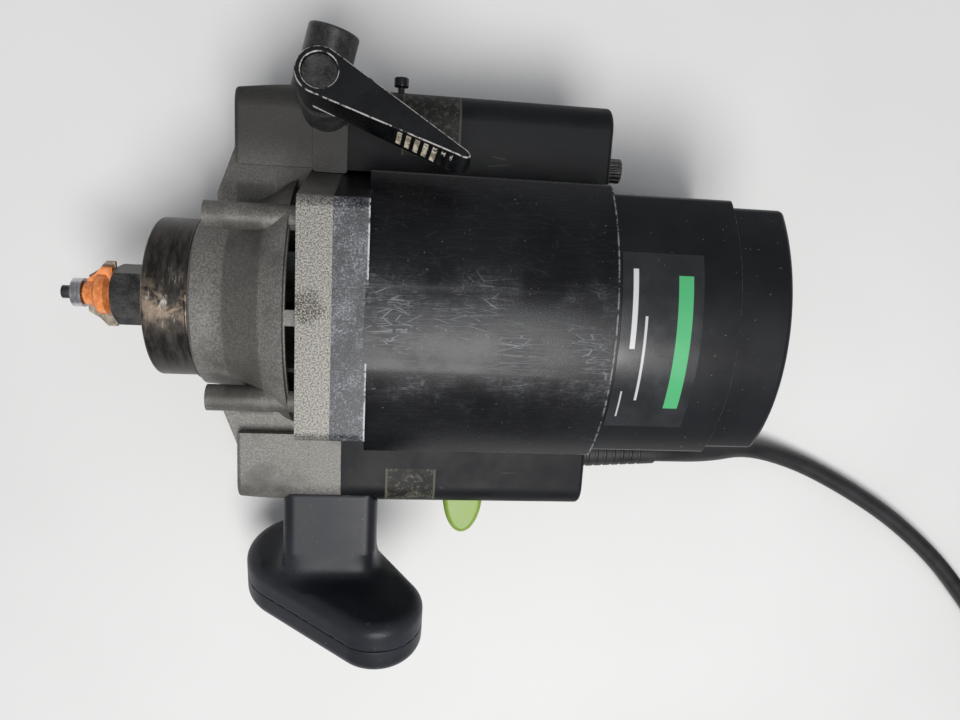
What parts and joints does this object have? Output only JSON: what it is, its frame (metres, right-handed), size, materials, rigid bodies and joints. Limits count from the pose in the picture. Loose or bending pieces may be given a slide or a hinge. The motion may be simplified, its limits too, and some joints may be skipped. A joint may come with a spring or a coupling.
{
  "type": "plunge router motor head",
  "caption": "Router motor head on its back: cast nose with bushes for two guide columns, black motor housing, lever clamp, side grip, fitted cutter and coiled mains cord.",
  "frame": {"origin": "middle of the base of the object as it lies on its back, measured without the cord; z = 0 is the surface it lies on", "axes": "+X along the spindle axis from the cutter to the end cap, +Z towards the front of the machine, +Y towards the clamping lever"},
  "size_m": [0.6846, 0.3797, 0.1215],
  "materials": {
    "cast_alloy": "bead-blasted casting",
    "collar_steel": "darkened steel, worn",
    "tool_steel": "blackened steel",
    "bright_steel": "polished bearing steel",
    "bit_coating": "orange coating",
    "carbide": "ground carbide",
    "black_plastic": "glass-filled nylon, scuffed",
    "black_gloss": "glossy",
    "grip_plastic": "satin",
    "green_plastic": "satin",
    "label_film": "glossy film",
    "copper": "copper and enamelled wire",
    "laminations": "stacked sheet steel",
    "bronze": "sintered bronze",
    "wiper_rubber": "nitrile",
    "zinc_steel": "zinc plated",
    "carbon": "pressed carbon",
    "fan_plastic": "moulded",
    "cord_rubber": "matt rubber sheath"
  },
  "bodies": {
    "head": {"front_casting": "cast_alloy", "mounting_collar": "collar_steel", "guide_bush_lever_side": "bronze", "guide_bush_handle_side": "bronze", "column_wiper_lever_side": "wiper_rubber", "column_wiper_handle_side": "wiper_rubber", "front_bearing_outer": "bright_steel", "stator_core": "laminations", "field_coils": "copper", "air_shroud": "fan_plastic", "brush_holders": "bronze", "carbon_brushes": "carbon", "brush_springs": "bright_steel", "motor_housing": "black_plastic", "upper_housing": "black_plastic", "end_cap": "black_plastic", "rear_bearing_outer": "bright_steel", "rating_label": "label_film", "housing_screws": "zinc_steel", "speed_module": "fan_plastic", "switch_module": "fan_plastic", "column_box_lever_side": "black_plastic", "column_box_handle_side": "black_plastic", "clamp_bush": "tool_steel", "clamp_pad": "bronze", "handle_post": "tool_steel", "handle_inner_shell": "grip_plastic", "handle_outer_shell": "grip_plastic", "handle_bolt": "zinc_steel", "strain_relief": "cord_rubber", "mains_cord": "cord_rubber", "mains_cord_tail": "cord_rubber", "cord_coil": "cord_rubber", "cord_tie": "wiper_rubber", "plug_body": "cord_rubber", "plug_pins": "bright_steel"},
    "spindle_set": {"spindle": "bright_steel", "collet": "tool_steel", "collet_nut": "tool_steel", "cutter_body": "bit_coating", "carbide_tips": "carbide", "pilot_screw": "tool_steel", "front_bearing_inner": "bright_steel", "armature_core": "laminations", "armature_windings": "copper", "commutator": "copper", "cooling_fan": "fan_plastic", "rear_bearing_inner": "bright_steel"},
    "pilot_ring": {"pilot_bearing": "bright_steel"},
    "lock_pin": {"spindle_lock_pin": "tool_steel"},
    "clamp_screw": {"clamp_stud": "zinc_steel", "lever_screw": "tool_steel"},
    "lever": {"clamp_lever": "black_gloss"},
    "adjuster": {"depth_adjuster": "tool_steel"},
    "stop_button": {"stop_release_button": "black_gloss"},
    "rocker": {"switch_rocker": "green_plastic"},
    "dial": {"speed_dial": "fan_plastic"}
  },
  "joints": [
    {"name": "spindle_spin", "type": "hinge", "parent": "head", "child": "spindle_set", "pos_m": [0.02045, 0.02082, 0.06], "axis": [1, 0, 0], "continuous": true},
    {"name": "pilot_spin", "type": "hinge", "parent": "spindle_set", "child": "pilot_ring", "pos_m": [-0.15055, 0.02082, 0.06], "axis": [1, 0, 0], "continuous": true},
    {"name": "spindle_lock", "type": "slide", "parent": "head", "child": "lock_pin", "axis": [0, -1, 0], "range_m": [0, 0.004], "stiffness_N_per_m": 500, "springref_m": -0.002},
    {"name": "lever_turn", "type": "hinge", "parent": "head", "child": "clamp_screw", "pos_m": [-0.04295, 0.10122, 0.056], "axis": [0, 0.2588, 0.9659], "range_deg": [0, 90]},
    {"name": "lever_lift", "type": "slide", "parent": "clamp_screw", "child": "lever", "axis": [0, 0.2588, 0.9659], "range_m": [0, 0.0038], "stiffness_N_per_m": 700, "springref_m": -0.002},
    {"name": "depth_adjust", "type": "hinge", "parent": "head", "child": "adjuster", "pos_m": [0.08045, 0.08832, 0.056], "axis": [1, 0, 0], "continuous": true},
    {"name": "stop_release", "type": "slide", "parent": "head", "child": "stop_button", "axis": [0, -1, 0], "range_m": [0, 0.0024], "stiffness_N_per_m": 400, "springref_m": -0.002},
    {"name": "switch_tip", "type": "hinge", "parent": "head", "child": "rocker", "pos_m": [0.02485, -0.07068, 0.056], "axis": [0, 0, 1], "range_deg": [0, 8]},
    {"name": "speed_turn", "type": "hinge", "parent": "head", "child": "dial", "pos_m": [0.15245, 0.02082, 0.06], "axis": [1, 0, 0], "range_deg": [0, 270]}
  ]
}
